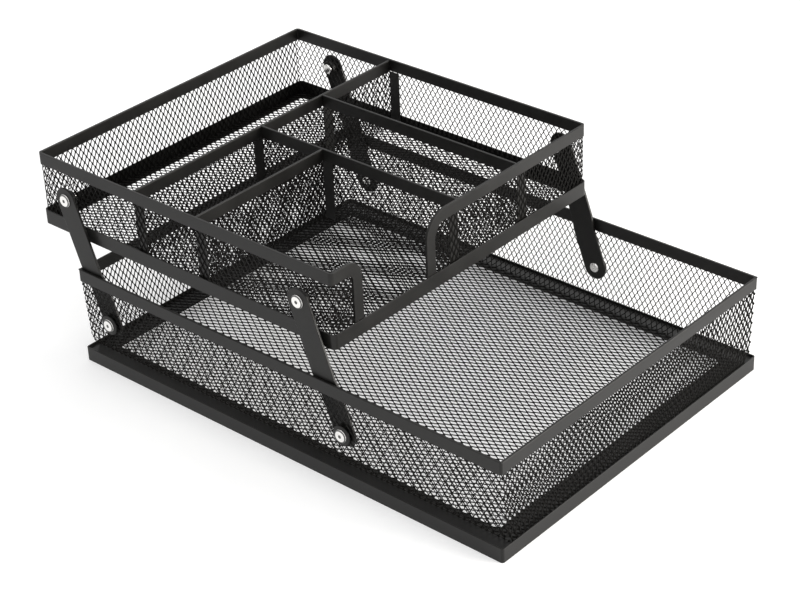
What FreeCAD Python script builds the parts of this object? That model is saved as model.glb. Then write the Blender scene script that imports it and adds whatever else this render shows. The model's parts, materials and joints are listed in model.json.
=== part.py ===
import FreeCAD, Part
import math
import os

import Sketcher

# Two-tier desk organiser of black expanded-metal mesh.
# A long lower tray stands on a folded base frame. A shallower upper tray with five compartments
# is carried above its back half by four riveted links, which swing as a parallelogram, so that
# the upper tray stays level while it moves forward and down.
#
# Millimetres, +Z up, the front faces -Y. The origin lies on the desk, under the middle of the
# whole organiser at rest, with the links leaning back against the lower tray's back rim.

SIZES = {
    # sheet metal
    "rim_gauge": 0.45,
    "mesh_gauge": 0.6,
    "band_gauge": 0.8,
    "edge_round": 0.35,
    # lower tray
    "lower_width": 229.0,
    "lower_depth": 312.4,
    "lower_height": 61.4,
    "lower_rim_height": 7.6,
    "base_height": 8.9,
    "base_stand_out": 0.8,
    "base_corner": 1.6,
    "base_flange_width": 14.0,
    "base_lip": 1.5,
    "wall_lean": 2.3,
    "bend_start_height": 18.0,
    "bend_radius": 12.5,
    # diamond openings in the mesh panels
    "cell_width": 29.0,
    "cell_height": 42.0,
    "open_share": 0.76,
    "mesh_margin": 2.0,
    # upper tray
    "upper_depth": 228.0,
    "upper_height": 45.6,
    "upper_rim_height": 7.4,
    "upper_corner": 2.4,
    "upper_band_height": 8.9,
    "upper_band_stand_out": 0.6,
    "upper_flange_width": 6.0,
    # scooped opening in the upper tray's front wall
    "opening_left": 23.6,
    "opening_right": 75.0,
    "opening_trim_width": 7.0,
    "stub_round": 11.0,
    "scoop_round": 16.0,
    # dividers in the upper tray
    "back_bay_depth": 78.7,
    "clip_bay_depth": 48.7,
    "note_bay_width": 102.5,
    "middle_bay_width": 51.7,
    "divider_drop": 0.4,
    "tab_width": 7.5,
    # links and rivets
    "lower_pivot_height": 30.8,
    "upper_pivot_height": 24.4,
    "rear_pivot_inset": 25.7,
    "front_pivot_inset": 20.6,
    "link_length": 77.4,
    "link_width": 15.2,
    "link_gauge": 1.5,
    "link_lean_degrees": 20.2,
    "link_stop_gap": 0.15,
    "link_side_gap": 0.4,
    "spacer_length": 3.1,
    "crank_offset": 1.4,
    "crank_start": 25.0,
    "crank_end": 32.0,
    "shank_radius": 2.0,
    "running_gap": 0.05,
    "head_radius": 4.0,
    "head_height": 1.4,
    "head_bevel": 0.7,
    "tail_radius": 3.2,
    "tail_height": 1.1,
    "washer_radius": 6.0,
    "washer_gauge": 0.8,
    "spacer_radius": 4.5,
}

LEFT, RIGHT = -1, 1
FRONT, BACK = -1, 1
SIDES = {"left": LEFT, "right": RIGHT}
ENDS = {"front": FRONT, "back": BACK}

document = FreeCAD.newDocument("mesh_organiser")
sheet = document.addObject("Spreadsheet::Sheet", "Sizes")
for row, (alias, number) in enumerate(SIZES.items(), start=1):
    sheet.set("A%d" % row, alias)
    sheet.set("B%d" % row, str(number))
    sheet.setAlias("B%d" % row, alias)
document.recompute()


# ---------------------------------------------------------------- sizes as expressions

class Size:
    """A length, an angle or a ratio: its present value and the expression that gives it."""

    def __init__(self, value, text):
        self.value = value
        self.text = text

    def __add__(self, other):
        other = as_size(other)
        return Size(self.value + other.value, "(%s + %s)" % (self.text, other.text))

    def __sub__(self, other):
        other = as_size(other)
        return Size(self.value - other.value, "(%s - %s)" % (self.text, other.text))

    def __mul__(self, other):
        other = as_size(other)
        return Size(self.value * other.value, "(%s * %s)" % (self.text, other.text))

    def __truediv__(self, other):
        other = as_size(other)
        return Size(self.value / other.value, "(%s / %s)" % (self.text, other.text))

    def __neg__(self):
        return self * -1

    def __radd__(self, other):
        return as_size(other) + self

    def __rsub__(self, other):
        return as_size(other) - self

    def __rmul__(self, other):
        return self * other


def as_size(item):
    return item if isinstance(item, Size) else Size(float(item), "%r" % float(item))


def size(alias):
    return Size(SIZES[alias], "Sizes." + alias)


def cosine(angle):
    return Size(math.cos(math.radians(angle.value)), "cos(%s)" % angle.text)


def sine(angle):
    return Size(math.sin(math.radians(angle.value)), "sin(%s)" % angle.text)


def tangent(angle):
    return sine(angle) / cosine(angle)


def root(area):
    return Size(math.sqrt(area.value), "sqrt(%s)" % area.text)


def bind(thing, prop, length):
    thing.setExpression(prop, as_size(length).text)


# ---------------------------------------------------------------- sketches and features

def square_direction(start, end):
    """The unit step from start to end, which differ in one coordinate."""
    across = end[0].value - start[0].value
    up = end[1].value - start[1].value
    if abs(across) > abs(up):
        return (math.copysign(1, across), 0)
    return (0, math.copysign(1, up))


def segments_of(corners):
    """Turn a loop of corners into lines and arcs.

    A corner is (across, up), or (across, up, radius) where two square sides meet in a round.
    A corner followed by ("bend", radius, turn) is joined to the next one by an arc, which turns
    anticlockwise when turn is 1 and clockwise when it is -1.
    """
    points = [tuple(as_size(part) for part in corner) for corner in corners if corner[0] != "bend"]
    bends = {}
    for item in corners:
        if item[0] == "bend":
            bends[len(bends_before(corners, item)) - 1] = (as_size(item[1]), item[2])
    segments = []
    arrivals, departures = [], []
    for index, point in enumerate(points):
        if len(point) == 2:
            arrivals.append(point)
            departures.append(point)
            continue
        corner, radius = point[:2], point[2]
        step_in = square_direction(points[index - 1], point)
        step_out = square_direction(point, points[(index + 1) % len(points)])
        arrivals.append(tuple(c - radius * s for c, s in zip(corner, step_in)))
        departures.append(tuple(c + radius * s for c, s in zip(corner, step_out)))
    for index, point in enumerate(points):
        if len(point) == 3:
            step_in = square_direction(points[index - 1], point)
            step_out = square_direction(point, points[(index + 1) % len(points)])
            turn = step_in[0] * step_out[1] - step_in[1] * step_out[0]
            segments.append((arrivals[index], departures[index], point[2], turn))
        after = (index + 1) % len(points)
        radius, turn = bends.get(index, (None, 0))
        segments.append((departures[index], arrivals[after], radius, turn))
    return [part for part in segments if span(part[0], part[1]) > 1e-6]


def bends_before(corners, item):
    """The plain corners that come before an item of a loop."""
    place = [index for index, other in enumerate(corners) if other is item][0]
    return [corner for corner in corners[:place] if corner[0] != "bend"]


def span(start, end):
    return math.hypot(end[0].value - start[0].value, end[1].value - start[1].value)


def arc_of(start, end, radius, turn):
    """The shorter arc from start to end, and the numbers of its start and end points."""
    first = FreeCAD.Vector(start[0].value, start[1].value, 0)
    last = FreeCAD.Vector(end[0].value, end[1].value, 0)
    chord = last - first
    rise = math.sqrt(max(radius.value ** 2 - (chord.Length / 2) ** 2, 0))
    sideways = FreeCAD.Vector(-chord.y, chord.x, 0).normalize() * rise * turn
    centre = (first + last) / 2 + sideways
    if turn < 0:
        first, last = last, first
    angles = [math.atan2(point.y - centre.y, point.x - centre.x) for point in (first, last)]
    circle = Part.Circle(centre, FreeCAD.Vector(0, 0, 1), radius.value)
    arc = Part.ArcOfCircle(circle, angles[0], angles[1])
    return arc, (1, 2) if turn > 0 else (2, 1)


def constrain(sketch, kind, *where, length):
    number = sketch.addConstraint(Sketcher.Constraint(kind, *where, length.value))
    bind(sketch, "Constraints[%d]" % number, length)


def draw_loop(sketch, corners):
    segments = segments_of(corners)
    drawn = []
    for start, end, radius, turn in segments:
        if radius is None:
            line = Part.LineSegment(FreeCAD.Vector(start[0].value, start[1].value, 0),
                                    FreeCAD.Vector(end[0].value, end[1].value, 0))
            drawn.append((sketch.addGeometry(line, False), 1, 2))
        else:
            arc, (first, last) = arc_of(start, end, radius, turn)
            drawn.append((sketch.addGeometry(arc, False), first, last))
    for index, (number, first, last) in enumerate(drawn):
        following, next_first, _ = drawn[(index + 1) % len(drawn)]
        sketch.addConstraint(Sketcher.Constraint("Coincident", number, last, following, next_first))
    for (number, first, last), (start, end, radius, turn) in zip(drawn, segments):
        constrain(sketch, "DistanceX", -1, 1, number, first, length=start[0])
        constrain(sketch, "DistanceY", -1, 1, number, first, length=start[1])
        if radius is not None:
            constrain(sketch, "Radius", number, length=radius)


ROUND_FLATS = 12


def round_outline(across, up, radius):
    """A small round in flats, with its corners on the radius."""
    turns = [2 * math.pi * (flat + 0.5) / ROUND_FLATS for flat in range(ROUND_FLATS)]
    return [(across + radius * math.cos(turn), up + radius * math.sin(turn)) for turn in turns]


def round_hole(across, up, radius):
    """A small round hole in flats, which touch the radius."""
    return round_outline(across, up, radius / math.cos(math.pi / ROUND_FLATS))


def sketch_on(body, plane, place, loops):
    """A sketch square to X, Y or Z at the given place along that axis."""
    role = {"X": "YZ_Plane", "Y": "XZ_Plane", "Z": "XY_Plane"}[plane]
    support = [feature for feature in body.Origin.OriginFeatures if feature.Role == role][0]
    sketch = body.newObject("Sketcher::SketchObject", body.Name + "_sketch")
    sketch.AttachmentSupport = [(support, "")]
    sketch.MapMode = "FlatFace"
    bind(sketch, "AttachmentOffset.Base.z", -as_size(place) if plane == "Y" else place)
    for loop in loops:
        draw_loop(sketch, loop)
    return sketch


def add_feature(body, kind, sketch, length):
    feature = body.newObject("PartDesign::" + kind, body.Name + "_" + kind.lower())
    feature.Profile = sketch
    bind(feature, "Length", length)
    sketch.Visibility = False
    body.Tip = feature
    return feature


def slab(body, plane, low, high, *loops):
    """Add the outline between two places along the plane's axis."""
    sketch = sketch_on(body, plane, high if plane == "Y" else low, loops)
    return add_feature(body, "Pad", sketch, high - low)


def cut(body, plane, low, high, *loops):
    """Take the outline away between two places along the plane's axis."""
    sketch = sketch_on(body, plane, low if plane == "Y" else high, loops)
    return add_feature(body, "Pocket", sketch, high - low)


def lattice(body, plane, low, high, left, right, bottom, top, halves=False):
    """Cut diamond openings through a sheet, in two staggered patterns between these edges.

    With halves, the staggered pattern goes on to the bottom and top edges, in half diamonds.
    """
    across, up = right - left, top - bottom
    columns, rows = counted(across, size("cell_width")), counted(up, size("cell_height"))
    pitch_across, pitch_up = across / columns, up / rows
    half_across = pitch_across * size("open_share") / 2
    half_up = pitch_up * size("open_share") / 2

    def openings(shift, row_count, centre_up, rises):
        """Rows of openings, each with corners at its left, right and the rises."""
        column_count = columns - shift
        if min(column_count.value, row_count.value) < 1:
            return
        centre = left + pitch_across * (1 + shift) / 2
        corners = [(centre - half_across, centre_up), (centre + half_across, centre_up)]
        for place, rise in rises:
            corners.insert(place, (centre, centre_up + rise))
        opening = cut(body, plane, low, high, corners)
        sketch = opening.Profile[0]
        pattern = body.newObject("PartDesign::LinearPattern", body.Name + "_lattice")
        pattern.Originals = [opening]
        pattern.Direction = (sketch, ["H_Axis"])
        pattern.Direction2 = (sketch, ["V_Axis"])
        if column_count.value > 1:
            bind(pattern, "Length", pitch_across * (column_count - 1))
        if row_count.value > 1:
            bind(pattern, "Length2", pitch_up * (row_count - 1))
        bind(pattern, "Occurrences", column_count)
        bind(pattern, "Occurrences2", row_count)
        body.Tip = pattern

    diamond = [(1, -half_up), (3, half_up)]
    openings(0, rows, bottom + pitch_up / 2, diamond)
    openings(1, rows - 1, bottom + pitch_up, diamond)
    if halves:
        openings(1, as_size(1), bottom, [(2, half_up)])
        openings(1, as_size(1), top, [(1, -half_up)])


def counted(length, pitch):
    """How many whole cells of about this pitch fill a length."""
    return Size(max(1, round(length.value / pitch.value)), "max(1; round(%s / %s))" % (length.text, pitch.text))


def new_body(name, place):
    body = document.addObject("PartDesign::Body", name)
    body.Label = name
    for axis, length in zip("xyz", place):
        bind(body, "Placement.Base." + axis, length)
    return body


def rectangle(left, right, low, high):
    return [(left, low), (right, low), (right, high), (left, high)]


def between(side, near, far):
    """Two distances from the middle as places along X, lowest first."""
    return sorted((side * as_size(near), side * as_size(far)), key=lambda length: length.value)


def group(name, members):
    compound = document.addObject("Part::Compound", name)
    compound.Label = name
    compound.Links = members
    pieces.append(compound)


pieces = []


def keep(body):
    pieces.append(body)
    return body


# ---------------------------------------------------------------- main planes

rim_gauge = size("rim_gauge")
mesh_gauge = size("mesh_gauge")
band_gauge = size("band_gauge")
rim_thickness = rim_gauge * 2 + mesh_gauge
mesh_outside = rim_gauge
mesh_inside = rim_gauge + mesh_gauge

lower_half_width = size("lower_width") / 2
lower_half_depth = size("lower_depth") / 2
lower_top = size("lower_height")
lower_rim_low = lower_top - size("lower_rim_height")
base_half_width = lower_half_width + size("base_stand_out")
base_half_depth = lower_half_depth + size("base_stand_out")
flange_top = size("base_height") - size("base_lip")

# Each link swings between the lower rim and a spacer on the upper tray's side.
link_gauge = size("link_gauge")
link_outer_top = lower_half_width - rim_thickness - size("link_side_gap")
link_outer_foot = link_outer_top - size("crank_offset")

upper_half_width = link_outer_top - link_gauge - size("spacer_length")
upper_half_depth = size("upper_depth") / 2
upper_top = size("upper_height")
upper_rim_low = upper_top - size("upper_rim_height")
upper_floor = band_gauge + mesh_gauge

# The rear links lean back until their edges meet the top of the lower tray's back rim.
lean = size("link_lean_degrees")
link_half_width = size("link_width") / 2
pivot_z = size("lower_pivot_height")
back_rim_inside = lower_half_depth - rim_thickness
stop_reach = (lower_top - pivot_z) * tangent(lean) + link_half_width / cosine(lean)
rear_pivot_y = back_rim_inside - size("link_stop_gap") - stop_reach
pivot_spacing = size("upper_depth") - size("rear_pivot_inset") - size("front_pivot_inset")
pivot_y = {"rear": rear_pivot_y, "front": rear_pivot_y - pivot_spacing}

upper_lift = pivot_z + size("link_length") * cosine(lean) - size("upper_pivot_height")
upper_back = rear_pivot_y + size("link_length") * sine(lean) + size("rear_pivot_inset")
upper_middle = upper_back - upper_half_depth
upper_reach = upper_back + size("upper_band_stand_out")

# The origin is midway between the front of the base and the back of the upper tray.
middle = (upper_reach - base_half_depth) / 2
lower_origin = (0, -middle, 0)
upper_origin = (0, upper_middle - middle, upper_lift)


def channel(end_face, inner_face, low, top):
    """The section of a folded strip over a mesh edge, from its outer face to its inner face."""
    step = 1 if inner_face.value > end_face.value else -1
    slot_near = end_face + rim_gauge * step
    slot_far = inner_face - rim_gauge * step
    return [(end_face, low), (end_face, top, size("edge_round")), (inner_face, top, size("edge_round")),
            (inner_face, low), (slot_far, low), (slot_far, top - rim_gauge),
            (slot_near, top - rim_gauge), (slot_near, low)]


# ---------------------------------------------------------------- lower tray: rims
# The side rims run the whole depth and close the corners. The front and back rims fit between.

for name, side in SIDES.items():
    rim = keep(new_body("lower_rim_" + name, lower_origin))
    outside = lower_half_width * side
    inside = (lower_half_width - rim_thickness) * side
    slab(rim, "Y", -lower_half_depth, lower_half_depth,
         [(outside, lower_rim_low), (outside, lower_top, size("edge_round")),
          (inside, lower_top, size("edge_round")), (inside, lower_rim_low)])
    slot_depth = lower_half_depth - rim_gauge
    cut(rim, "Z", lower_rim_low, lower_top - rim_gauge,
        rectangle((lower_half_width - mesh_outside) * side, (lower_half_width - mesh_inside) * side,
                  -slot_depth, slot_depth))

for name, end in ENDS.items():
    rim = keep(new_body("lower_rim_" + name, lower_origin))
    reach = lower_half_width - rim_thickness
    slab(rim, "X", -reach, reach,
         channel(lower_half_depth * end, back_rim_inside * end, lower_rim_low, lower_top))


# ---------------------------------------------------------------- folded strips round a tray

def wrapped_strip(side, half_width, half_depth, corner, arm, outer, inner):
    """Plan of a strip along one side, which turns both corners and ends an arm's length round.

    Outer and inner are its distances from the outside faces.
    """
    far = (half_width - outer) * side
    near = (half_width - inner) * side
    end = (half_width - arm) * side
    deep, shallow = half_depth - outer, half_depth - inner
    return [(end, -deep), (far, -deep, corner - outer), (far, deep, corner - outer), (end, deep),
            (end, shallow), (near, shallow, corner - inner), (near, -shallow, corner - inner),
            (end, -shallow)]


def base_frame(prefix, origin, half_width, half_depth, corner, height, arm, flange_low):
    """An angle-section frame in four strips: an upright band and an inward flange."""
    for name, side in SIDES.items():
        band = keep(new_body(prefix + "_" + name, origin))
        slab(band, "Z", as_size(0), height,
             wrapped_strip(side, half_width, half_depth, corner, arm, as_size(0), band_gauge))
        slab(band, "Z", flange_low, flange_low + band_gauge,
             [((half_width - arm) * side, -half_depth), (half_width * side, -half_depth, corner),
              (half_width * side, half_depth, corner), ((half_width - arm) * side, half_depth)])
    for name, end in ENDS.items():
        band = keep(new_body(prefix + "_" + name, origin))
        outside, inside = half_depth * end, (half_depth - band_gauge) * end
        flange_edge = (half_depth - arm) * end
        profile = [(outside, 0), (outside, height), (inside, height), (inside, flange_low + band_gauge),
                   (flange_edge, flange_low + band_gauge), (flange_edge, flange_low)]
        if flange_low.value > 0:
            profile += [(inside, flange_low), (inside, 0)]
        slab(band, "X", -(half_width - arm), half_width - arm, profile)


base_frame("base_band", lower_origin, base_half_width, base_half_depth, size("base_corner"),
           size("base_height"), size("base_flange_width"), flange_top - band_gauge)

# ---------------------------------------------------------------- lower tray: mesh walls and floor
# A side wall leans in a little below its rim, and then bends in to stand on the base flange.

bend_high = size("bend_start_height")
bend_drop = bend_high - flange_top
bend_radius = size("bend_radius")
bend_centre = lower_half_width - mesh_outside - size("wall_lean") - bend_radius


def wall_edge(depth):
    """Corners down a side wall at a depth below its outer face, and the bend between the last two."""
    radius = bend_radius - depth
    top_x = lower_half_width - mesh_outside - depth
    foot_x = bend_centre + root(radius * radius - bend_drop * bend_drop)
    return top_x, top_x - size("wall_lean"), foot_x, radius


def wall_outside(height):
    """How far out a side wall's outer face is at a height between the rim and the bend."""
    share = (lower_rim_low - height) / (lower_rim_low - bend_high)
    return lower_half_width - mesh_outside - size("wall_lean") * share


# The openings keep clear of the rim, of the bend or the foot, and of the washers' seats.
margin = size("mesh_margin")
seat = size("washer_radius") + margin

for name, side in SIDES.items():
    wall = keep(new_body("lower_mesh_" + name, lower_origin))
    top_x, bend_x, foot_x, radius = wall_edge(as_size(0))
    top_in, bend_in, foot_in, radius_in = wall_edge(mesh_gauge)
    slot_top = lower_top - rim_gauge
    reach = lower_half_depth - rim_gauge
    slab(wall, "Y", -reach, reach,
         [(top_x * side, slot_top), (top_x * side, lower_rim_low), (bend_x * side, bend_high),
          ("bend", radius, -side), (foot_x * side, flange_top), (foot_in * side, flange_top),
          ("bend", radius_in, side), (bend_in * side, bend_high), (top_in * side, lower_rim_low),
          (top_in * side, slot_top)])
    holes = [round_hole(pivot_y[place], pivot_z, size("shank_radius") + size("running_gap"))
             for place in ("rear", "front")]
    low, high = sorted((lower_half_width * side, bend_centre * side), key=lambda length: length.value)
    cut(wall, "X", low, high, *holes)
    for start, end in ((-reach, pivot_y["front"] - seat), (pivot_y["front"] + seat, pivot_y["rear"] - seat)):
        lattice(wall, "X", low, high, start, end, bend_high + margin, lower_rim_low - margin, halves=True)

for name, end in ENDS.items():
    wall = keep(new_body("lower_mesh_" + name, lower_origin))
    top_x, bend_x, foot_x, radius = wall_edge(rim_thickness - rim_gauge)
    low, high = sorted(((lower_half_depth - mesh_inside) * end, (lower_half_depth - mesh_outside) * end),
                       key=lambda length: length.value)
    slab(wall, "Y", low, high,
         [(top_x, lower_top - rim_gauge), (top_x, lower_rim_low), (bend_x, bend_high),
          ("bend", radius, -1), (foot_x, flange_top), (-foot_x, flange_top),
          ("bend", radius, -1), (-bend_x, bend_high), (-top_x, lower_rim_low),
          (-top_x, lower_top - rim_gauge)])
    lattice(wall, "Y", low, high, -foot_x, foot_x, flange_top + mesh_gauge + margin,
            lower_rim_low - margin, halves=True)

lower_floor = keep(new_body("lower_mesh_floor", lower_origin))
floor_half_width = wall_edge(mesh_gauge)[2]
floor_half_depth = lower_half_depth - mesh_inside
slab(lower_floor, "Z", flange_top, flange_top + mesh_gauge,
     rectangle(-floor_half_width, floor_half_width, -floor_half_depth, floor_half_depth))
across, along = base_half_width - size("base_flange_width"), base_half_depth - size("base_flange_width")
lattice(lower_floor, "Z", flange_top, flange_top + mesh_gauge, -across, across, -along, along)

# ---------------------------------------------------------------- upper tray: base frame and rims

upper_corner = size("upper_corner")
stand_out = size("upper_band_stand_out")
base_frame("upper_band", upper_origin, upper_half_width + stand_out, upper_half_depth + stand_out,
           upper_corner + stand_out, size("upper_band_height"), size("upper_flange_width"), as_size(0))

corner_x = upper_half_width - upper_corner
for name, side in SIDES.items():
    rim = keep(new_body("upper_rim_" + name, upper_origin))
    slab(rim, "Z", upper_rim_low, upper_top,
         wrapped_strip(side, upper_half_width, upper_half_depth, upper_corner, upper_corner,
                       as_size(0), rim_thickness))
    cut(rim, "Z", upper_rim_low, upper_top - rim_gauge,
        wrapped_strip(side, upper_half_width, upper_half_depth, upper_corner, upper_corner,
                      mesh_outside, mesh_inside))

back_rim = keep(new_body("upper_rim_back", upper_origin))
slab(back_rim, "X", -corner_x, corner_x,
     channel(upper_half_depth, upper_half_depth - rim_thickness, upper_rim_low, upper_top))

# The front rim dips to the bottom band at both sides of the note compartment's opening.
# The left one caps a narrow stub of wall, and the right one sweeps up into the rest of the rim.

opening_left = -upper_half_width + size("opening_left")
opening_right = -upper_half_width + size("opening_right")
trim_width = size("opening_trim_width")
band_top = size("upper_band_height")
front_face = -upper_half_depth


def front_trim(name, edge, corner, towards, radius):
    """Folded strip from a tray corner to the opening, then round and down to the band."""
    trim = keep(new_body(name, upper_origin))
    inner_edge = edge + trim_width * towards
    outline = [(corner, upper_top), (edge, upper_top, radius), (edge, band_top), (inner_edge, band_top),
               (inner_edge, upper_rim_low, radius - trim_width), (corner, upper_rim_low)]
    slab(trim, "Y", front_face, front_face + rim_thickness, outline)
    slot_edge = edge + rim_gauge * towards
    slot = [(corner, upper_top - rim_gauge), (slot_edge, upper_top - rim_gauge, radius - rim_gauge),
            (slot_edge, band_top), (inner_edge, band_top),
            (inner_edge, upper_rim_low, radius - trim_width), (corner, upper_rim_low)]
    cut(trim, "Y", front_face + mesh_outside, front_face + mesh_inside, slot)


front_trim("upper_rim_stub", opening_left, -corner_x, LEFT, size("stub_round"))
front_trim("upper_rim_front", opening_right, corner_x, RIGHT, size("scoop_round"))

# ---------------------------------------------------------------- upper tray: mesh walls and floor

upper_rear_y = upper_half_depth - size("rear_pivot_inset")
upper_pivot_y = {"rear": upper_rear_y, "front": upper_rear_y - pivot_spacing}
upper_pivot_z = size("upper_pivot_height")
shank_hole = size("shank_radius") + size("running_gap")

for name, side in SIDES.items():
    wall = keep(new_body("upper_mesh_" + name, upper_origin))
    slab(wall, "Z", band_gauge, upper_top - rim_gauge,
         wrapped_strip(side, upper_half_width, upper_half_depth, upper_corner, upper_corner,
                       mesh_outside, mesh_inside))
    low, high = sorted((upper_half_width * side, (upper_half_width - rim_thickness) * side),
                       key=lambda length: length.value)
    cut(wall, "X", low, high,
        *[round_hole(upper_pivot_y[place], upper_pivot_z, shank_hole) for place in ("rear", "front")])
    lattice(wall, "X", low, high, upper_pivot_y["front"] + seat, upper_pivot_y["rear"] - seat,
            band_top + margin, upper_rim_low - margin, halves=True)

back_wall = keep(new_body("upper_mesh_back", upper_origin))
slab(back_wall, "Y", upper_half_depth - mesh_inside, upper_half_depth - mesh_outside,
     rectangle(-corner_x, corner_x, band_gauge, upper_top - rim_gauge))
lattice(back_wall, "Y", upper_half_depth - mesh_inside, upper_half_depth - mesh_outside,
        -corner_x, corner_x, band_top + margin, upper_rim_low - margin, halves=True)


def front_mesh(name, edge, corner, towards, radius):
    """Mesh of the front wall beside the opening, cut to the curve of its folded strip."""
    wall = keep(new_body(name, upper_origin))
    edge = edge + rim_gauge * towards
    slab(wall, "Y", front_face + mesh_outside, front_face + mesh_inside,
         [(corner, band_gauge), (corner, upper_top - rim_gauge),
          (edge, upper_top - rim_gauge, radius - rim_gauge), (edge, band_gauge)])
    inner_edge = edge + trim_width * towards
    left, right = sorted((inner_edge, corner), key=lambda length: length.value)
    lattice(wall, "Y", front_face + mesh_outside, front_face + mesh_inside, left, right,
            band_top + margin, upper_rim_low - margin, halves=True)


front_mesh("upper_mesh_stub", opening_left, -corner_x, LEFT, size("stub_round"))
front_mesh("upper_mesh_front", opening_right, corner_x, RIGHT, size("scoop_round"))

upper_floor_piece = keep(new_body("upper_mesh_floor", upper_origin))
floor_x = upper_half_width - mesh_inside
floor_y = upper_half_depth - mesh_inside
floor_round = upper_corner - mesh_inside
slab(upper_floor_piece, "Z", band_gauge, upper_floor,
     [(-floor_x, -floor_y, floor_round), (floor_x, -floor_y, floor_round),
      (floor_x, floor_y, floor_round), (-floor_x, floor_y, floor_round)])
across = upper_half_width + stand_out - size("upper_flange_width")
along = upper_half_depth + stand_out - size("upper_flange_width")
lattice(upper_floor_piece, "Z", band_gauge, upper_floor, -across, across, -along, along)

# ---------------------------------------------------------------- upper tray: dividers
# Each is a mesh panel under a folded strip. One runs across, and three stand against it.

divider_top = upper_top - size("divider_drop")
divider_low = divider_top - size("upper_rim_height")
inside_x = upper_half_width - rim_thickness
inside_y = upper_half_depth - rim_thickness
half_strip = rim_thickness / 2
half_mesh = mesh_gauge / 2

cross_y = upper_half_depth - size("back_bay_depth")
clip_y = cross_y - size("clip_bay_depth")
note_x = -upper_half_width + size("note_bay_width")
middle_x = note_x + size("middle_bay_width")
tab = size("tab_width")


def divider(name, plane, place, start, end):
    """A divider square to X or Y at a place along that axis, from start to end along the other."""
    panel = keep(new_body(name + "_mesh", upper_origin))
    slab(panel, plane, place - half_mesh, place + half_mesh,
         rectangle(start, end, upper_floor, divider_top - rim_gauge))
    lattice(panel, plane, place - half_mesh, place + half_mesh, start + tab, end - tab,
            upper_floor + margin, divider_low)
    strip = keep(new_body(name + "_rim", upper_origin))
    along = "Y" if plane == "X" else "X"
    slab(strip, along, start, end,
         channel(place - half_strip, place + half_strip, divider_low, divider_top))


divider("cross_divider", "Y", cross_y, -inside_x, inside_x)
divider("note_divider", "X", note_x, -inside_y, cross_y - half_strip)
divider("middle_divider", "X", middle_x, -inside_y, cross_y - half_strip)
divider("clip_divider", "Y", clip_y, -inside_x, note_x - half_strip)

# The ends of the dividers are bent over into flat tabs, which are welded to the mesh beside them.

def upright_tab(name, low_x, low_y, size_x, size_y):
    box = document.addObject("Part::Box", name)
    bind(box, "Length", size_x)
    bind(box, "Width", size_y)
    bind(box, "Height", upper_rim_low - upper_floor - size("divider_drop"))
    places = (low_x + upper_origin[0], low_y + upper_origin[1], upper_floor + upper_origin[2])
    for axis, length in zip("xyz", places):
        bind(box, "Placement.Base." + axis, length)
    return box


wall_x = upper_half_width - mesh_inside
wall_y = upper_half_depth - mesh_inside
tabs = []
for label, y in (("cross", cross_y), ("clip", clip_y)):
    tabs.append(upright_tab(label + "_tab_left", -wall_x, y - tab, rim_gauge, tab))
tabs.append(upright_tab("cross_tab_right", inside_x, cross_y - tab, rim_gauge, tab))
tabs.append(upright_tab("clip_tab_right", note_x - half_mesh - rim_gauge, clip_y - tab, rim_gauge, tab))
for label, x, low_x in (("note", note_x, note_x - tab), ("middle", middle_x, middle_x)):
    tabs.append(upright_tab(label + "_tab_front", low_x, -wall_y, tab, rim_gauge))
    tabs.append(upright_tab(label + "_tab_back", low_x, cross_y - half_mesh - rim_gauge, tab, rim_gauge))
group("divider_tabs", tabs)

# ---------------------------------------------------------------- links
# Flat bars with round ends. The lower third is cranked inwards to lie against the side mesh.

link_length = size("link_length")
crank = size("crank_offset")


def link(name, side, y):
    bar = keep(new_body(name, (link_outer_foot * side, y - middle, pivot_z)))
    leaning_back = FreeCAD.Rotation(FreeCAD.Vector(-1, 0, 0), lean.value)
    bar.Placement = FreeCAD.Placement(bar.Placement.Base, leaning_back)
    bind(bar, "Placement.Rotation.Angle", lean)
    foot, head = -link_half_width, link_length + link_half_width
    inward = -side
    slab(bar, "Y", -link_half_width, link_half_width,
         [(0, foot), (0, size("crank_start")), (-crank * inward, size("crank_end")),
          (-crank * inward, head), ((link_gauge - crank) * inward, head),
          ((link_gauge - crank) * inward, size("crank_end")),
          (link_gauge * inward, size("crank_start")), (link_gauge * inward, foot)])
    clear = link_gauge + crank
    beyond = link_half_width + link_gauge
    round_end = [(-link_half_width, foot, link_half_width), (link_half_width, foot, link_half_width),
                 (link_half_width, head, link_half_width), (-link_half_width, head, link_half_width)]
    cut(bar, "X", -clear, clear,
        rectangle(-beyond, beyond, foot - link_gauge, head + link_gauge), round_end)
    cut(bar, "X", -clear, clear,
        round_hole(0, 0, shank_hole), round_hole(0, link_length, shank_hole))


for place in ("rear", "front"):
    for name, side in SIDES.items():
        link("%s_%s_link" % (place, name), side, pivot_y[place])

# ---------------------------------------------------------------- rivets, washers and spacers

washer_inside = wall_outside(pivot_z + size("washer_radius"))
washer_outside = washer_inside + size("washer_gauge")
running_gap = size("running_gap")


def rivet(name, side, place, tail_face, head_face):
    """A rivet with a bevelled head, from the face under its tail to the face under its head."""
    body = new_body(name, place)
    tail_end = tail_face - size("tail_height")
    slab(body, "X", *between(side, tail_end, tail_face), round_outline(0, 0, size("tail_radius")))
    slab(body, "X", *between(side, tail_face, head_face), round_outline(0, 0, size("shank_radius")))
    head = slab(body, "X", *between(side, head_face, head_face + size("head_height")),
                round_outline(0, 0, size("head_radius")))
    document.recompute()
    reach = [side * face.CenterOfMass.x for face in head.Shape.Faces]
    bevel = body.newObject("PartDesign::Chamfer", name + "_bevel")
    bevel.Base = (head, ["Face%d" % (reach.index(max(reach)) + 1)])
    bind(bevel, "Size", size("head_bevel"))
    body.Tip = bevel
    return body


def ring(name, side, place, near, far, radius):
    """A washer or a spacer round a rivet's shank."""
    body = new_body(name, place)
    slab(body, "X", *between(side, near, far), round_outline(0, 0, radius), round_hole(0, 0, shank_hole))
    return body


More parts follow.
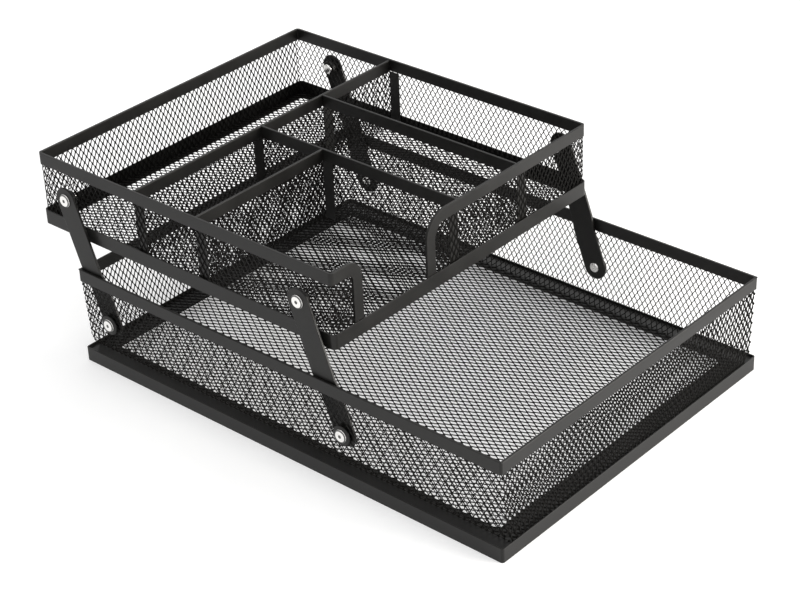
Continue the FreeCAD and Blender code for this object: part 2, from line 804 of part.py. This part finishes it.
lower_rivets, lower_washers, upper_rivets, upper_spacers = [], [], [], []
for end in ("rear", "front"):
    for name, side in SIDES.items():
        tag = "_%s_%s" % (end, name)
        foot_place = (0, pivot_y[end] - middle, pivot_z)
        head_place = (0, upper_pivot_y[end] + upper_origin[1], upper_pivot_z + upper_lift)
        lower_rivets.append(rivet("lower_rivet" + tag, side, foot_place,
                                  link_outer_foot - link_gauge - running_gap, washer_outside))
        lower_washers.append(ring("lower_washer" + tag, side, foot_place,
                                  washer_inside, washer_outside, size("washer_radius")))
        upper_rivets.append(rivet("upper_rivet" + tag, side, head_place,
                                  upper_half_width - mesh_inside, link_outer_top + running_gap))
        upper_spacers.append(ring("upper_spacer" + tag, side, head_place,
                                  upper_half_width - mesh_outside,
                                  link_outer_top - link_gauge - running_gap, size("spacer_radius")))
group("lower_rivets", lower_rivets)
group("lower_washers", lower_washers)
group("upper_rivets", upper_rivets)
group("upper_spacers", upper_spacers)

# ---------------------------------------------------------------- checks and files

document.recompute()
for thing in document.Objects:
    if "Invalid" in thing.State or "Error" in thing.State:
        raise RuntimeError("%s failed: %s" % (thing.Label, thing.State))
    if thing.TypeId == "PartDesign::Pocket" and thing.Shape.Volume > thing.BaseFeature.Shape.Volume - 1e-6:
        raise RuntimeError("%s cuts nothing" % thing.Label)
for piece in pieces:
    if piece.Shape.isNull() or not piece.Shape.isValid():
        raise RuntimeError("%s has no valid shape" % piece.Label)

os.makedirs("parts", exist_ok=True)
for piece in pieces:
    piece.Shape.exportStep("parts/%s.step" % piece.Label)
    print("%-20s solids %d, volume %.1f" % (piece.Label, len(piece.Shape.Solids), piece.Shape.Volume))
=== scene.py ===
import json
import math

import bmesh
import bpy
import numpy as np
from mathutils import Matrix, Vector


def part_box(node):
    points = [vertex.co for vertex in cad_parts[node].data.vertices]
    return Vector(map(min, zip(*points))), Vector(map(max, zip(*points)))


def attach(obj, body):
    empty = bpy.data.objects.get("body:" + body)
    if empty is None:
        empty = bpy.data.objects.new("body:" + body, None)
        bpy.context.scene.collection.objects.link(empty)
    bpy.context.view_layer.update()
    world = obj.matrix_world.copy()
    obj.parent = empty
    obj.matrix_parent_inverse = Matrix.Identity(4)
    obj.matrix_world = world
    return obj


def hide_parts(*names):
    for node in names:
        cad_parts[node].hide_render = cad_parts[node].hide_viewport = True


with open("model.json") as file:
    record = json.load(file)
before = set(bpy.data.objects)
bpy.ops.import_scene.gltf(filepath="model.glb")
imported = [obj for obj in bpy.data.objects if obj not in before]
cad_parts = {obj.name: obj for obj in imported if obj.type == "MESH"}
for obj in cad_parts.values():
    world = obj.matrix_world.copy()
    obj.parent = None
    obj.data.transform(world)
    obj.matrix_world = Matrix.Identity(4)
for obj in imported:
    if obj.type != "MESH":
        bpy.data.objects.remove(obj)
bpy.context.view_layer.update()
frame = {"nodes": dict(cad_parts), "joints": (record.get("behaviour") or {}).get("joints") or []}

# ---------------------------------------------------------------- studio
# A white table under a white tent, with a large, slightly warm soft lamp low at the front right
# and weaker ones at the left and overhead. The camera looks down from the front left through a
# long lens.

MM = 0.001
WHITE = (1.0, 1.0, 1.0, 1.0)
scene = bpy.context.scene
scene.view_settings.view_transform = "Standard"


class Socket:
    """One output of a shader node. Arithmetic on it adds Math nodes."""

    def __init__(self, tree, link):
        self.tree, self.link = tree, link

    def math(self, operation, *others):
        return self.tree.node("ShaderNodeMath", {"operation": operation}, dict(enumerate((self, *others))))

    def __add__(self, other):
        return self.math("ADD", other)

    def __sub__(self, other):
        return self.math("SUBTRACT", other)

    def __rsub__(self, other):
        return self * -1 + other

    def __mul__(self, other):
        return self.math("MULTIPLY", other)

    __radd__ = __add__
    __rmul__ = __mul__


class Tree:
    """The node tree of a material or of the world, empty at first."""

    def __init__(self, owner):
        owner.use_nodes = True
        self.nodes, self.links = owner.node_tree.nodes, owner.node_tree.links
        self.nodes.clear()

    def node(self, kind, settings, sockets, output=0):
        """Add a node with these settings, set or link its sockets, and give one of its outputs."""
        made = self.nodes.new(kind)
        for key, value in settings.items():
            setattr(made, key, value)
        for key, value in sockets.items():
            if isinstance(value, Socket):
                self.links.new(value.link, made.inputs[key])
            else:
                made.inputs[key].default_value = value
        return Socket(self, made.outputs[output]) if len(made.outputs) else made

    def backdrop_rays(self):
        """1 where the camera, a reflection or a clear piece looks at this, and 0 for its light."""
        seen = [self.node("ShaderNodeLightPath", {}, {}, output="Is %s Ray" % ray)
                for ray in ("Camera", "Glossy", "Transmission")]
        return seen[0].math("MAXIMUM", seen[1]).math("MAXIMUM", seen[2])


TENT_LIGHT = 0.8
TABLE_GLOW = 0.35
TABLE_WIDTH = 6.0
PAPER_WHITE = (0.8, 0.8, 0.8, 1.0)
world = bpy.data.worlds.new("white_tent")
scene.world = world
tent = Tree(world)
tent_strength = tent.backdrop_rays() * (1 - TENT_LIGHT) + TENT_LIGHT
tent_cloth = tent.node("ShaderNodeBackground", {}, {"Color": WHITE, "Strength": tent_strength})
tent.node("ShaderNodeOutputWorld", {}, {"Surface": tent_cloth})

bpy.ops.mesh.primitive_plane_add(size=TABLE_WIDTH)
table = bpy.context.object
table.name = "table"
table_white = bpy.data.materials.new("table_white")
paper = Tree(table_white)
paper_shine = paper.backdrop_rays() * TABLE_GLOW
paper_glow = paper.node("ShaderNodeEmission", {}, {"Color": WHITE, "Strength": paper_shine})
paper_matt = paper.node("ShaderNodeBsdfDiffuse", {}, {"Color": PAPER_WHITE})
paper_whole = paper.node("ShaderNodeAddShader", {}, {0: paper_matt, 1: paper_glow})
paper.node("ShaderNodeOutputMaterial", {}, {"Surface": paper_whole})
table.data.materials.append(table_white)


def softbox(name, azimuth, elevation, distance, size, power, tint=(1.0, 1.0, 1.0)):
    """A square soft lamp aimed at the object. Azimuth 0 stands in front and 90 on the left."""
    lamp = bpy.data.lights.new(name, "AREA")
    lamp.size, lamp.energy, lamp.color = size, power, tint
    holder = bpy.data.objects.new(name, lamp)
    scene.collection.objects.link(holder)
    turn, rise = math.radians(azimuth), math.radians(elevation)
    away = Vector((-math.sin(turn) * math.cos(rise), -math.cos(turn) * math.cos(rise), math.sin(rise)))
    holder.location = away * distance
    holder.rotation_euler = away.to_track_quat("Z", "Y").to_euler()


softbox("key", azimuth=-28, elevation=13, distance=1.6, size=1.0, power=40, tint=(1.0, 0.965, 0.91))
softbox("fill", azimuth=75, elevation=40, distance=1.8, size=1.4, power=2)
softbox("top", azimuth=150, elevation=80, distance=1.8, size=1.6, power=4)

VIEW_DISTANCE = 1.2536
VIEW_OFFSET = (-9.7 * MM, 34.0 * MM, 0)
LENS_LENGTH = 96.9
lower_middle = Vector((0, -15.6 * MM, 0))
view_azimuth, view_elevation, view_roll = math.radians(-47.6), math.radians(31.1), math.radians(-2.47)
view_back = Vector((math.sin(view_azimuth) * math.cos(view_elevation),
                    -math.cos(view_azimuth) * math.cos(view_elevation), math.sin(view_elevation)))
view_right = Vector((0, 0, 1)).cross(view_back).normalized()
view_up = view_back.cross(view_right)
view_basis = Matrix((view_right, view_up, view_back)).transposed().to_4x4()
view_basis = view_basis @ Matrix.Rotation(view_roll, 4, "Z")
view_place = lower_middle + view_basis @ Vector(VIEW_OFFSET) + view_back * VIEW_DISTANCE
camera = bpy.data.objects.new("camera", bpy.data.cameras.new("camera"))
camera.matrix_world = Matrix.Translation(view_place) @ view_basis
camera.data.lens = LENS_LENGTH
scene.collection.objects.link(camera)
scene.camera = camera

# ---------------------------------------------------------------- lower tray: base frame
# An angle-section frame of thin steel, bent from four strips whose ends butt together, then
# powder coated black. The mesh stands on its flange, inside its low upright band.

COAT_BLACK = (0.0055, 0.0052, 0.0048, 1.0)
COAT_WORN = (0.018, 0.0174, 0.0162, 1.0)
STRIP_EDGE = 0.18 * MM
WELD = 0.002 * MM
SAME_PLACE = 0.05 * MM
FLAT_ANGLE, EDGE_ANGLE, CORNER_ANGLE = math.radians(0.5), math.radians(40), math.radians(60)


def powder_coat(name, roughness, grain, gloss, worn=1.0):
    """Satin black powder coat: a fine orange peel, with slightly uneven gloss and depth."""
    coat = bpy.data.materials.new(name)
    tree = Tree(coat)
    place = tree.node("ShaderNodeTexCoord", {}, {}, output="Object")
    cloud = tree.node("ShaderNodeTexNoise", {}, {"Vector": place, "Scale": 75.0, "Detail": 4.0})
    peel = tree.node("ShaderNodeTexNoise", {}, {"Vector": place, "Scale": grain, "Detail": 2.0})
    speck = tree.node("ShaderNodeTexNoise", {}, {"Vector": place, "Scale": 1500.0, "Detail": 1.0})
    dust = tree.node("ShaderNodeMapRange", {}, {"Value": speck, "From Min": 0.68, "From Max": 0.8})
    wear = (cloud * 0.8 + dust * 0.5 - 0.1) * worn
    tint = tree.node("ShaderNodeMix", {"data_type": "RGBA"},
                     {0: wear, 6: COAT_BLACK, 7: COAT_WORN}, output=2)
    bump = tree.node("ShaderNodeBump", {}, {"Strength": 0.3, "Distance": 0.04 * MM, "Height": peel})
    uneven = cloud * 0.16 + peel * 0.08 + (roughness - 0.12)
    steel = tree.node("ShaderNodeBsdfPrincipled", {}, {
        "Base Color": tint, "Roughness": uneven, "Normal": bump, "Specular IOR Level": gloss})
    tree.node("ShaderNodeOutputMaterial", {}, {"Surface": steel})
    return coat


def box_of(node):
    """The lowest and the highest corner of a steel node."""
    low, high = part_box(node)
    return Vector(low), Vector(high)


def near(value, target):
    """Whether a place is this far out on either side."""
    return abs(abs(value) - target) < SAME_PLACE


def middle_of(line):
    return (line.verts[0].co + line.verts[1].co) / 2


def coated(node, body, coat, edge, is_seam=None, is_corner=None, corner=0.0):
    """A piece in place of a steel node, with its edges rounded as thick paint rounds them.

    is_seam(middle) says which edges butt against the next strip, and stay square, and
    is_corner(middle) which ones are bent to the corner radius.
    """
    shape = bmesh.new()
    shape.from_mesh(frame["nodes"][node].data)
    bmesh.ops.remove_doubles(shape, verts=shape.verts, dist=WELD)
    bmesh.ops.dissolve_limit(shape, angle_limit=FLAT_ANGLE, verts=shape.verts, edges=shape.edges)
    if is_corner:
        bent = [line for line in shape.edges
                if is_corner(middle_of(line)) and line.calc_face_angle(0) > CORNER_ANGLE]
        bmesh.ops.bevel(shape, geom=bent, offset=corner, segments=6, profile=0.5, affect="EDGES")
    sharp = [line for line in shape.edges if line.calc_face_angle(0) > EDGE_ANGLE]
    for line in sharp if is_seam else ():
        line.smooth = not is_seam(middle_of(line))
    bmesh.ops.bevel(shape, geom=[line for line in sharp if line.smooth], offset=edge, segments=2,
                    profile=0.5, affect="EDGES", clamp_overlap=True)
    mesh = bpy.data.meshes.new(node + "_coated")
    shape.to_mesh(mesh)
    shape.free()
    mesh.shade_smooth()
    mesh.materials.append(coat)
    piece = bpy.data.objects.new(node + "_coated", mesh)
    scene.collection.objects.link(piece)
    flat_faces = piece.modifiers.new("flat_faces", "WEIGHTED_NORMAL")
    flat_faces.weight, flat_faces.keep_sharp = 100, True
    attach(piece, body)
    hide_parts(node)


strip_coat = powder_coat("strip_coat", roughness=0.38, grain=2600.0, gloss=0.28)
base_arm = box_of("base_band_right")[0].x
for place in ("left", "right", "front", "back"):
    coated("base_band_" + place, "lower_tray", strip_coat, STRIP_EDGE,
           is_seam=lambda middle: near(middle.x, base_arm))

# ---------------------------------------------------------------- lower tray: mesh walls and floor
# Expanded steel sheet: slit and stretched, so that narrow strands meet at upright bonds. Every
# strand leans the same way, as the stretching turned it. The side walls lean in below the rim
# and bend in at the foot.

MESH_PITCH, MESH_RISE = 3.78 * MM, 6.1 * MM
BOND_WIDTH, BOND_HEIGHT = 0.92 * MM, 1.58 * MM
BOND_FLAT_ACROSS, BOND_FLAT_UP = 0.2 * MM, 0.3 * MM
STRAND_THICKNESS = 0.34 * MM
STRAND_LEAN = 0.22 * MM
PRESSED_SHARE = 0.3
FLOOR_STRETCH = 1.035
HIDDEN_EDGE = 0.9 * MM
SKIN_MARGIN = 1.0 * MM
mesh_coat = powder_coat("mesh_coat", roughness=0.5, grain=4200.0, gloss=0.07, worn=0.2)


def expanded_metal(node, body, width, height, place, inside=None, pressed=0.0, stretch=1.0):
    """A sheet of expanded metal of this width and height.

    place(across, up, out) gives the spot of each point, and inside(across, up) says which bonds
    stay. Each bond is an eight-cornered knot, and a strand joins it to each of its four neighbours.
    The strands lie flatter in the folded strip that grips the top of the sheet, over the height
    that pressed gives. stretch is how much wider the openings are pulled than in the walls.
    """
    columns = max(2, round(width / MESH_PITCH / stretch * 2))
    rows = max(2, round(height / MESH_RISE / stretch * 2))
    side, tip = BOND_WIDTH / 2, BOND_HEIGHT / 2
    corners = [(BOND_FLAT_ACROSS, tip), (side, BOND_FLAT_UP),
               (side, -BOND_FLAT_UP), (BOND_FLAT_ACROSS, -tip),
               (-BOND_FLAT_ACROSS, -tip), (-side, -BOND_FLAT_UP),
               (-side, BOND_FLAT_UP), (-BOND_FLAT_ACROSS, tip)]
    bonds = {}
    for column in range(columns + 1):
        for row in range(column % 2, rows + 1, 2):
            across, up = column * width / columns, row * height / rows
            if inside is None or inside(across, up):
                bonds[column, row] = (len(bonds), across, up)
    spots = np.array([(across + x, up + y, x / side * STRAND_LEAN) for _, across, up in bonds.values()
                      for x, y in corners])
    spots[:, 2] *= np.where(spots[:, 1] > height - pressed, PRESSED_SHARE, 1.0)
    count = len(spots)
    outer = spots + (0, 0, STRAND_THICKNESS / 2)
    inner = spots - (0, 0, STRAND_THICKNESS / 2)
    faces, rims = [], []
    for (column, row), (number, _, _) in bonds.items():
        first = number * len(corners)
        faces.append([first + corner for corner in range(7, -1, -1)])
        rims += [(first + corner, first + corner + 1) for corner in (1, 3, 5)] + [(first + 7, first)]
        for above, own, other in ((1, (0, 1), (4, 5)), (-1, (2, 3), (6, 7))):
            neighbour = bonds.get((column + 1, row + above))
            if neighbour is None:
                rims.append((first + own[0], first + own[1]))
                continue
            start = neighbour[0] * len(corners)
            faces.append([first + own[0], first + own[1], start + other[0], start + other[1]][::-1])
            rims += [(first + own[0], start + other[1]), (start + other[0], first + own[1])]
        for above, own in ((-1, (4, 5)), (1, (6, 7))):
            if (column - 1, row + above) not in bonds:
                rims.append((first + own[0], first + own[1]))
    faces += [[index + count for index in face[::-1]] for face in faces]
    faces += [[a, b, b + count, a + count] for a, b in rims]
    points = np.concatenate([outer, inner])
    mesh = bpy.data.meshes.new(node + "_open")
    mesh.from_pydata(np.stack(place(*points.T), axis=1).tolist(), [], faces)
    skin = mesh.uv_layers.new(name="OFBake")
    corner_points = np.empty(len(mesh.loops), dtype=np.int32)
    mesh.loops.foreach_get("vertex_index", corner_points)
    unrolled = (points[:, :2] + points[:, 2:] + SKIN_MARGIN) / (max(width, height) + 2 * SKIN_MARGIN)
    skin.data.foreach_set("uv", unrolled[corner_points].astype(np.float32).ravel())
    mesh.materials.append(mesh_coat)
    piece = bpy.data.objects.new(node + "_open", mesh)
    scene.collection.objects.link(piece)
    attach(piece, body)
    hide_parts(node)


rim_low = box_of("lower_rim_left")[0].z
wall_low, wall_high = box_of("lower_mesh_left")
wall_half_gauge = 0.3 * MM
wall_lean, wall_bend_height, wall_bend_radius = 2.3 * MM, 18.0 * MM, 12.2 * MM
wall_top_x = -wall_low.x - wall_half_gauge
wall_bend_x = wall_top_x - wall_lean - wall_bend_radius
wall_turn = math.asin((wall_bend_height - wall_low.z) / wall_bend_radius)
leaning_length = math.hypot(rim_low - wall_bend_height, wall_lean)
lower_pressed = wall_high.z - rim_low - HIDDEN_EDGE
wall_length = wall_bend_radius * wall_turn + leaning_length + lower_pressed


def wall_section(up):
    """How far out a side wall's middle is, its height, and its outward slope, up from its foot."""
    bend_length = wall_bend_radius * wall_turn
    turn = wall_turn - np.clip(up / wall_bend_radius, 0, wall_turn)
    share = np.clip((up - bend_length) / leaning_length, 0, 1)
    upright = np.maximum(up - bend_length - leaning_length, 0)
    reach = wall_bend_x + wall_bend_radius * np.cos(turn) + wall_lean * share
    leaning_rise = (rim_low - wall_bend_height) * share
    return reach, wall_bend_height - wall_bend_radius * np.sin(turn) + leaning_rise + upright, turn


for node, side in (("lower_mesh_left", -1), ("lower_mesh_right", 1)):
    def side_wall(across, up, out, side=side):
        reach, height, turn = wall_section(up)
        along = wall_low.y + across if side > 0 else wall_high.y - across
        along = np.clip(along, wall_low.y + HIDDEN_EDGE, wall_high.y - HIDDEN_EDGE)
        return side * (reach + out * np.cos(turn)), along, height - out * np.sin(turn)
    expanded_metal(node, "lower_tray", wall_high.y - wall_low.y, wall_length, side_wall,
                   pressed=lower_pressed)

for node, end in (("lower_mesh_front", -1), ("lower_mesh_back", 1)):
    low, high = box_of(node)
    end_width, end_y = high.x - low.x, (low.y + high.y) / 2

    def end_wall(across, up, out, end=end, low=low, width=end_width, y=end_y):
        height = low.z + up
        leaning = np.clip((rim_low - height) / (rim_low - wall_bend_height), 0, 1) * wall_lean
        below = np.maximum(wall_bend_height - height, 0)
        rounding = wall_bend_radius - np.sqrt(wall_bend_radius ** 2 - below ** 2)
        share = (across / width * 2 - 1) * -end
        return share * (width / 2 - leaning - rounding), y + end * out, height
    expanded_metal(node, "lower_tray", end_width, high.z - HIDDEN_EDGE - low.z, end_wall,
                   pressed=lower_pressed)


def flat_sheet(low, high):
    """Place a level sheet between two corners of a box."""
    level = (low.z + high.z) / 2
    return lambda across, up, out: (low.x + across, low.y + up, level + out)


for node, body in (("lower_mesh_floor", "lower_tray"), ("upper_mesh_floor", "upper_tray")):
    low, high = box_of(node)
    expanded_metal(node, body, high.x - low.x, high.y - low.y, flat_sheet(low, high), stretch=FLOOR_STRETCH)

# ---------------------------------------------------------------- lower tray: rims
# A narrow steel strip folded over the top edge of the mesh and closed on it, with rounded corners
# and the same coat. It hides the cut ends of the strands.

LOWER_CORNER = 1.4 * MM
rim_box_low, rim_box_high = box_of("lower_rim_left")
butt_x = box_of("lower_rim_front")[1].x
rim_middle_y, rim_half_depth = (rim_box_low.y + rim_box_high.y) / 2, (rim_box_high.y - rim_box_low.y) / 2


def rim_seam(middle):
    return near(middle.x, butt_x) and middle.z > rim_low


def rim_corner(middle):
    return near(middle.x, -rim_box_low.x) and near(middle.y - rim_middle_y, rim_half_depth)


for place in ("left", "right", "front", "back"):
    coated("lower_rim_" + place, "lower_tray", strip_coat, STRIP_EDGE, rim_seam, rim_corner, LOWER_CORNER)

# ---------------------------------------------------------------- upper tray: base frame and rims
# A smaller frame of the same sections, bent to slightly rounder corners. The folded rim ends at
# both sides of the note bay in wide curved trims that run down to the base.

UPPER_BAND_EDGE = 0.15 * MM
upper_arm = box_of("upper_band_front")[1].x
for place in ("left", "right", "front", "back"):
    coated("upper_band_" + place, "upper_tray", strip_coat, UPPER_BAND_EDGE,
           is_seam=lambda middle: near(middle.x, upper_arm))

corner_end = box_of("upper_rim_back")[1].x
for place in ("left", "right", "back", "stub", "front"):
    coated("upper_rim_" + place, "upper_tray", strip_coat, STRIP_EDGE,
           is_seam=lambda middle: near(middle.x, corner_end))

# ---------------------------------------------------------------- upper tray: mesh walls
# The same sheet, upright. The side walls turn both corners on a small radius. The front wall is
# open at the note bay, and its two ends are cut to the curves of their folded strips.

UPPER_MESH_CORNER = 1.95 * MM
STUB_ROUND, SCOOP_ROUND = 11.0 * MM, 16.0 * MM
CUT_EDGE = 2.5 * MM
tray_low, tray_high = box_of("upper_mesh_left")[0], box_of("upper_mesh_right")[1]
upper_rim_low = box_of("upper_rim_left")[0].z
upper_pressed = tray_high.z - upper_rim_low - HIDDEN_EDGE
corner_radius = UPPER_MESH_CORNER - wall_half_gauge
side_x = tray_high.x - wall_half_gauge
end_low, end_high = tray_low.y + wall_half_gauge, tray_high.y - wall_half_gauge
quarter = corner_radius * math.pi / 2
straight = end_high - end_low - 2 * corner_radius

for node, side in (("upper_mesh_left", -1), ("upper_mesh_right", 1)):
    def bent_wall(across, up, out, side=side):
        across = across if side > 0 else 2 * quarter + straight - across
        turn = np.clip(across / corner_radius, 0, math.pi / 2)
        turn = turn + np.clip((across - quarter - straight) / corner_radius, 0, math.pi / 2)
        along = np.clip(across - quarter, 0, straight)
        reach = corner_radius + out
        x = side_x - corner_radius + reach * np.sin(turn)
        y = end_low + corner_radius - reach * np.cos(turn) + along
        return side * x, y, tray_low.z + up
    expanded_metal(node, "upper_tray", 2 * quarter + straight, tray_high.z - HIDDEN_EDGE - tray_low.z,
                   bent_wall, pressed=upper_pressed)

for node, end, towards, radius in (("upper_mesh_back", 1, 0, 0), ("upper_mesh_stub", -1, -1, STUB_ROUND),
                                   ("upper_mesh_front", -1, 1, SCOOP_ROUND)):
    low, high = box_of(node)
    wall_width, wall_y = high.x - low.x, (low.y + high.y) / 2

    def upright_wall(across, up, out, end=end, low=low, high=high, y=wall_y):
        x = low.x + across if end < 0 else high.x - across
        return x, y + end * out, low.z + up

    def under_the_curve(across, up, towards=towards, radius=radius, low=low, high=high, width=wall_width):
        if not towards:
            return True
        from_edge = across if towards > 0 else width - across
        sideways, rise = radius - from_edge, up - (high.z - low.z - radius)
        if sideways > 0 and rise > 0:
            return math.hypot(sideways, rise) < radius - CUT_EDGE
        return from_edge > CUT_EDGE
    expanded_metal(node, "upper_tray", wall_width, high.z - HIDDEN_EDGE - low.z, upright_wall,
                   inside=under_the_curve, pressed=upper_pressed)

# ---------------------------------------------------------------- dividers
# Panels of the same mesh under folded strips of the same width. One runs across behind the front
# bays, and three stand against it. Bent tabs at their ends are spot welded to the mesh.

TAB_EDGE = 0.1 * MM
for node in ("cross_divider", "clip_divider"):
    low, high = box_of(node + "_mesh")
    divider_y = (low.y + high.y) / 2
    expanded_metal(node + "_mesh", "upper_tray", high.x - low.x, high.z - HIDDEN_EDGE - low.z,
                   lambda across, up, out, low=low, y=divider_y: (low.x + across, y - out, low.z + up),
                   pressed=upper_pressed)

for node in ("note_divider", "middle_divider"):
    low, high = box_of(node + "_mesh")
    divider_x = (low.x + high.x) / 2
    expanded_metal(node + "_mesh", "upper_tray", high.y - low.y, high.z - HIDDEN_EDGE - low.z,
                   lambda across, up, out, low=low, x=divider_x: (x + out, low.y + across, low.z + up),
                   pressed=upper_pressed)

for node in ("cross_divider", "clip_divider", "note_divider", "middle_divider"):
    coated(node + "_rim", "upper_tray", strip_coat, STRIP_EDGE)
coated("divider_tabs", "upper_tray", strip_coat, TAB_EDGE)

# ---------------------------------------------------------------- links
# Cranked flat steel bars with round ends, punched from thicker plate and coated like the trays.
# Four of them carry the upper tray.

PUNCHED_EDGE = 0.3 * MM
link_coat = powder_coat("link_coat", roughness=0.38, grain=2200.0, gloss=0.26)
for place in ("rear_left", "rear_right", "front_left", "front_right"):
    coated(place + "_link", place + "_link", link_coat, PUNCHED_EDGE)

# ---------------------------------------------------------------- rivets, washers and spacers
# Nickel-plated rivets, each with a stepped flat head that is dented in the middle by the setting
# punch, and turned over at its tail. Black washers seat the lower ones on the mesh, and black
# spacers hold the links off the upper tray.

NICKEL = (0.86, 0.85, 0.83, 1.0)
# Painted shade: the step and the dent of each rivet head get a dark, mottled colour in place of the shade
# in these hollows.
PAINTED_SHADE_DARK, PAINTED_SHADE_PALE = (0.02, 0.02, 0.02, 1.0), (0.3, 0.3, 0.29, 1.0)

nickel = bpy.data.materials.new("nickel")
plating = Tree(nickel)
plating_place = plating.node("ShaderNodeTexCoord", {}, {}, output="Object")
plating_haze = plating.node("ShaderNodeTexNoise", {}, {
    "Vector": plating_place, "Scale": 900.0, "Detail": 3.0})
plating_bump = plating.node("ShaderNodeBump", {}, {
    "Strength": 0.2, "Distance": 0.03 * MM, "Height": plating_haze})
plating_metal = plating.node("ShaderNodeBsdfPrincipled", {}, {
    "Base Color": NICKEL, "Metallic": 1.0, "Roughness": plating_haze * 0.14 + 0.14, "Normal": plating_bump})
plating.node("ShaderNodeOutputMaterial", {}, {"Surface": plating_metal})

# The painted-shade material for the rivet heads' step and dent: much darker than the nickel, mottled at
# random.
painted_shade = bpy.data.materials.new("set_mark_painted_shade")
crevice = Tree(painted_shade)
crevice_place = crevice.node("ShaderNodeTexCoord", {}, {}, output="Object")
crevice_mottle = crevice.node("ShaderNodeTexNoise", {}, {
    "Vector": crevice_place, "Scale": 1100.0, "Detail": 2.0})
crevice_tint = crevice.node("ShaderNodeMix", {"data_type": "RGBA"},
                            {0: crevice_mottle, 6: PAINTED_SHADE_DARK, 7: PAINTED_SHADE_PALE}, output=2)
crevice_bump = crevice.node("ShaderNodeBump", {}, {
    "Strength": 0.4, "Distance": 0.05 * MM, "Height": crevice_mottle})
crevice_metal = crevice.node("ShaderNodeBsdfPrincipled", {}, {
    "Base Color": crevice_tint, "Metallic": 0.6, "Roughness": crevice_mottle * 0.2 + 0.4,
    "Normal": crevice_bump})
crevice.node("ShaderNodeOutputMaterial", {}, {"Surface": crevice_metal})

TURNED_STEPS = 44
TURNED_EDGE_ANGLE = math.radians(50)
RUNNING_GAP = 0.05 * MM
SHANK_HOLE = 2.05 * MM
WASHER_RADIUS, WASHER_GAUGE, WASHER_EDGE = 6.0 * MM, 0.8 * MM, 0.25 * MM
SPACER_RADIUS, SPACER_EDGE = 4.5 * MM, 0.3 * MM


def turned(node, body, places, profile, slot, *materials):
    """One piece, turned round a pivot line at each place, which is (side, y, z).

    Each point of the profile is its distance out from the middle, its radius, and the number
    of the material that leads to the next point.
    """
    shape = bmesh.new()
    for side, y, z in places:
        points = [shape.verts.new((side * out, y, z + radius)) for out, radius, _ in profile]
        closed = profile[0][1] > 0
        ends = list(zip(points, points[1:])) + ([(points[-1], points[0])] if closed else [])
        lines = [shape.edges.new(pair) for pair in ends]
        known = set(shape.faces)
        bmesh.ops.spin(shape, geom=points + lines, axis=(1, 0, 0), cent=(0, y, z), angle=2 * math.pi,
                       steps=TURNED_STEPS, use_merge=True)
        for face in set(shape.faces) - known:
            middle = face.calc_center_median()
            out, radius = side * middle.x, math.hypot(middle.y - y, middle.z - z)
            nearest = min(range(len(ends)), key=lambda k: math.hypot(
                (profile[k][0] + profile[(k + 1) % len(profile)][0]) / 2 - out,
                (profile[k][1] + profile[(k + 1) % len(profile)][1]) / 2 - radius))
            face.material_index = profile[nearest][2]
    bmesh.ops.remove_doubles(shape, verts=shape.verts, dist=WELD)
    bmesh.ops.recalc_face_normals(shape, faces=shape.faces)
    mesh = bpy.data.meshes.new(node + "_turned")
    shape.to_mesh(mesh)
    shape.free()
    for material in materials:
        mesh.materials.append(material)
    mesh.shade_smooth()
    mesh.set_sharp_from_angle(angle=TURNED_EDGE_ANGLE)
    piece = bpy.data.objects.new(node + "_turned", mesh)
    scene.collection.objects.link(piece)
    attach(piece, body)
    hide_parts(node)


def rivet_profile(tail_face, head_face):
    """From the middle of the tail to the dent in the middle of the head.

    Millimetres from each face and from the line. 1 marks the painted shade in the head's step and dent: a
    dark colour that stands in for the shade that falls in these hollows.
    """
    tail = [(-1.1, 0, 0), (-1.1, 2.2, 0), (-0.95, 2.9, 0), (-0.5, 3.2, 0), (0, 3.2, 0), (0, 2.0, 0)]
    head = [(0, 2.0, 0), (0, 3.85, 0), (0.15, 4.0, 0), (0.5, 4.0, 0), (0.65, 3.85, 1), (0.6, 3.5, 1),
            (0.95, 3.38, 1), (1.2, 3.25, 0), (1.36, 3.0, 0), (1.4, 2.6, 0), (1.36, 1.2, 0),
            (1.28, 1.0, 1), (0.9, 0.85, 1), (0.75, 0.4, 1), (0.75, 0, 1)]
    return ([(tail_face + out * MM, radius * MM, material) for out, radius, material in tail]
            + [(head_face + out * MM, radius * MM, material) for out, radius, material in head])


def ring_profile(near_face, far_face, radius, edge):
    """Round the section of a washer or a spacer, with its outer edges rounded."""
    cut = edge * 0.3
    return [(near_face, SHANK_HOLE, 0), (near_face, radius - edge, 0), (near_face + cut, radius - cut, 0),
            (near_face + edge, radius, 0), (far_face - edge, radius, 0),
            (far_face - cut, radius - cut, 0), (far_face, radius - edge, 0), (far_face, SHANK_HOLE, 0)]


joint_places = {joint["name"]: Vector(joint["pos_m"]) for joint in frame["joints"]}
rear_foot, front_foot = joint_places["tray_swing"], joint_places["front_left_swing"]
rear_head = joint_places["tray_level"]
front_head = rear_head + front_foot - rear_foot
foot_places = [(side, foot.y, foot.z) for foot in (rear_foot, front_foot) for side in (-1, 1)]
head_places = [(side, head.y, head.z) for head in (rear_head, front_head) for side in (-1, 1)]
link_low, link_high = box_of("rear_right_link")
washer_high = box_of("lower_washers")[1].x
spacer_high = box_of("upper_spacers")[1].x
turned("lower_rivets", "lower_tray", foot_places,
       rivet_profile(link_low.x - RUNNING_GAP, washer_high), "bright_rivet", nickel, painted_shade)
turned("upper_rivets", "upper_tray", head_places,
       rivet_profile(side_x - wall_half_gauge, link_high.x + RUNNING_GAP), "bright_rivet", nickel, painted_shade)
turned("lower_washers", "lower_tray", foot_places,
       ring_profile(washer_high - WASHER_GAUGE, washer_high, WASHER_RADIUS, WASHER_EDGE),
       "black_powder_coat", link_coat)
turned("upper_spacers", "upper_tray", head_places,
       ring_profile(side_x + wall_half_gauge, spacer_high, SPACER_RADIUS, SPACER_EDGE),
       "black_powder_coat", link_coat)
